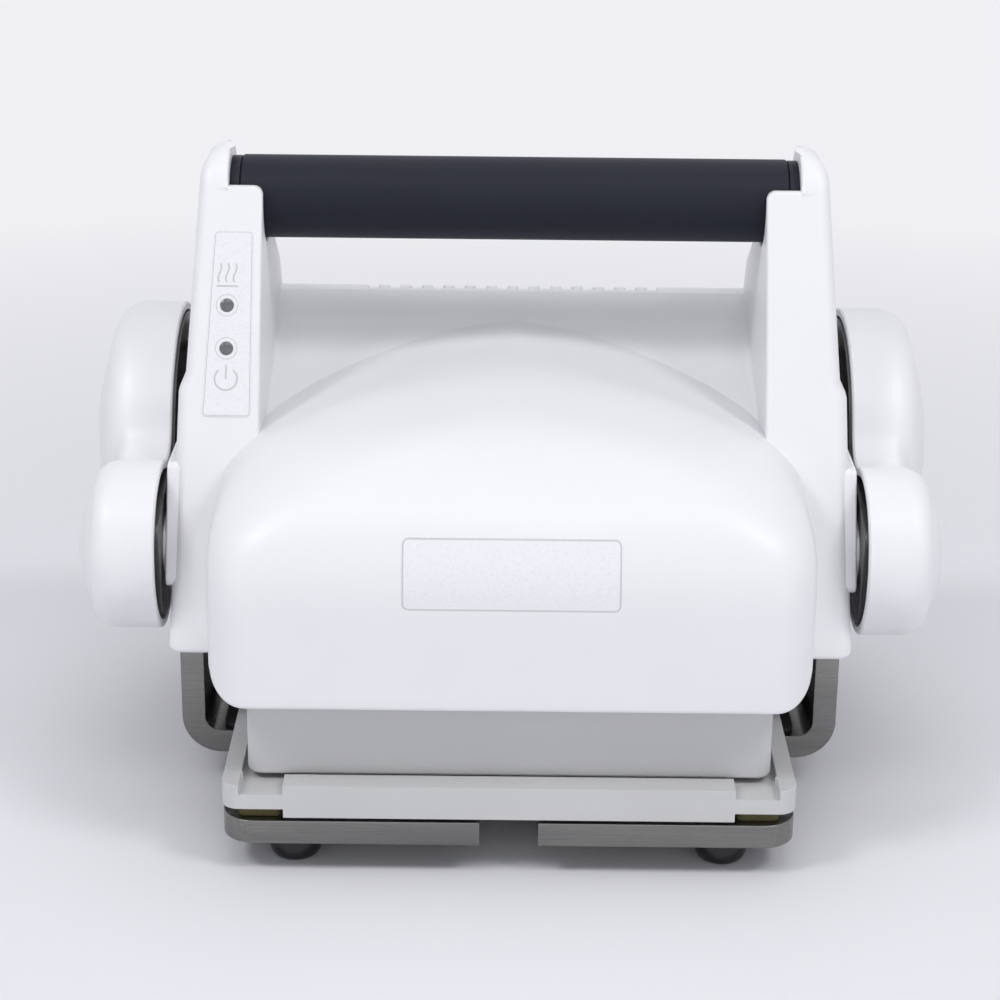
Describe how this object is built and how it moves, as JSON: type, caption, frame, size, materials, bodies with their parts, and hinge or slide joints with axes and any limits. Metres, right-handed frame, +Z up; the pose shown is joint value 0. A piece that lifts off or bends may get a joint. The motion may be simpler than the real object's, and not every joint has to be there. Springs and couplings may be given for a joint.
{
  "type": "plate heat sealer",
  "caption": "Manual bench heat sealer for microplates: a steel base with a plate nest and a hinged white lever head that presses a floating heated platen onto the plate.",
  "frame": {"origin": "centre of the bounding box on the bench plane", "axes": "+X to the right seen from the front, +Y to the back, +Z up, head closed"},
  "size_m": [0.2204, 0.152, 0.1598],
  "materials": {
    "base_steel": "brushed, horizontal grain",
    "foot_rubber": "smooth dark domed",
    "mat_black": "dull black",
    "grey_coat": "satin grey",
    "pad_olive": "dull olive",
    "fastener_steel": "machined",
    "friction_brown": "dull friction lining",
    "head_white": "satin white, faint blue tint",
    "grip_black": "satin charcoal",
    "ring_black": "black",
    "label_white": "smooth film, raised pictograms",
    "lens_grey": "unlit translucent grey",
    "link_steel": "brushed, bright cut edge",
    "bush_bronze": "sintered bronze",
    "platen_alu": "ground flat",
    "mat_orange": "silicone heating mat",
    "insulation": "fibre board",
    "board_green": "solder mask green",
    "relay_blue": "blue case",
    "socket_black": "black moulding",
    "contact_metal": "plated",
    "rocker_black": "black",
    "device_dark": "dark case",
    "fuse_metal": "plain"
  },
  "bodies": {
    "base": {"base_frame": "base_steel", "feet": "foot_rubber", "base_mat": "mat_black", "plate_carrier": "grey_coat", "carrier_pads": "pad_olive", "carrier_screws": "fastener_steel", "pivot_studs": "fastener_steel", "friction_discs": "friction_brown", "pivot_nuts": "fastener_steel"},
    "head": {"head_cover": "head_white", "rear_cover": "head_white", "rear_cover_screws": "fastener_steel", "grip_sleeve": "grip_black", "grip_tube": "fastener_steel", "grip_end_rings": "ring_black", "grip_screws": "fastener_steel", "indicator_label": "label_white", "indicator_lenses": "lens_grey", "nameplate": "label_white", "left_link_plate": "link_steel", "right_link_plate": "link_steel", "pivot_bushes": "bush_bronze", "left_side_cover": "head_white", "right_side_cover": "head_white", "side_cover_screws": "fastener_steel", "platen_pins": "fastener_steel", "pin_washers": "grey_coat", "pin_spacers": "fastener_steel", "circuit_board": "board_green", "mains_relay": "relay_blue", "mains_inlet": "socket_black", "inlet_contacts": "contact_metal", "switch_housing": "socket_black"},
    "rocker": {"switch_rocker": "rocker_black"},
    "platen": {"heater_guard": "grey_coat", "heated_platen": "platen_alu", "heating_mat": "mat_orange", "insulation_block": "insulation", "platen_bridge": "fastener_steel", "platen_screws": "fastener_steel", "thermostat": "device_dark", "thermal_fuse": "fuse_metal"}
  },
  "joints": [
    {"name": "lever_hinge", "type": "hinge", "parent": "base", "child": "head", "pos_m": [0, 0.027, 0.0776], "axis": [-1, 0, 0], "range_deg": [0, 50]},
    {"name": "platen_float", "type": "hinge", "parent": "head", "child": "platen", "pos_m": [0, -0.02585, 0.0655], "axis": [1, 0, 0], "range_deg": [-1.2, 1.2]},
    {"name": "switch_rocker", "type": "hinge", "parent": "head", "child": "rocker", "pos_m": [0.002, 0.0614, 0.0776], "axis": [1, 0, 0], "range_deg": [-16, 0]}
  ]
}
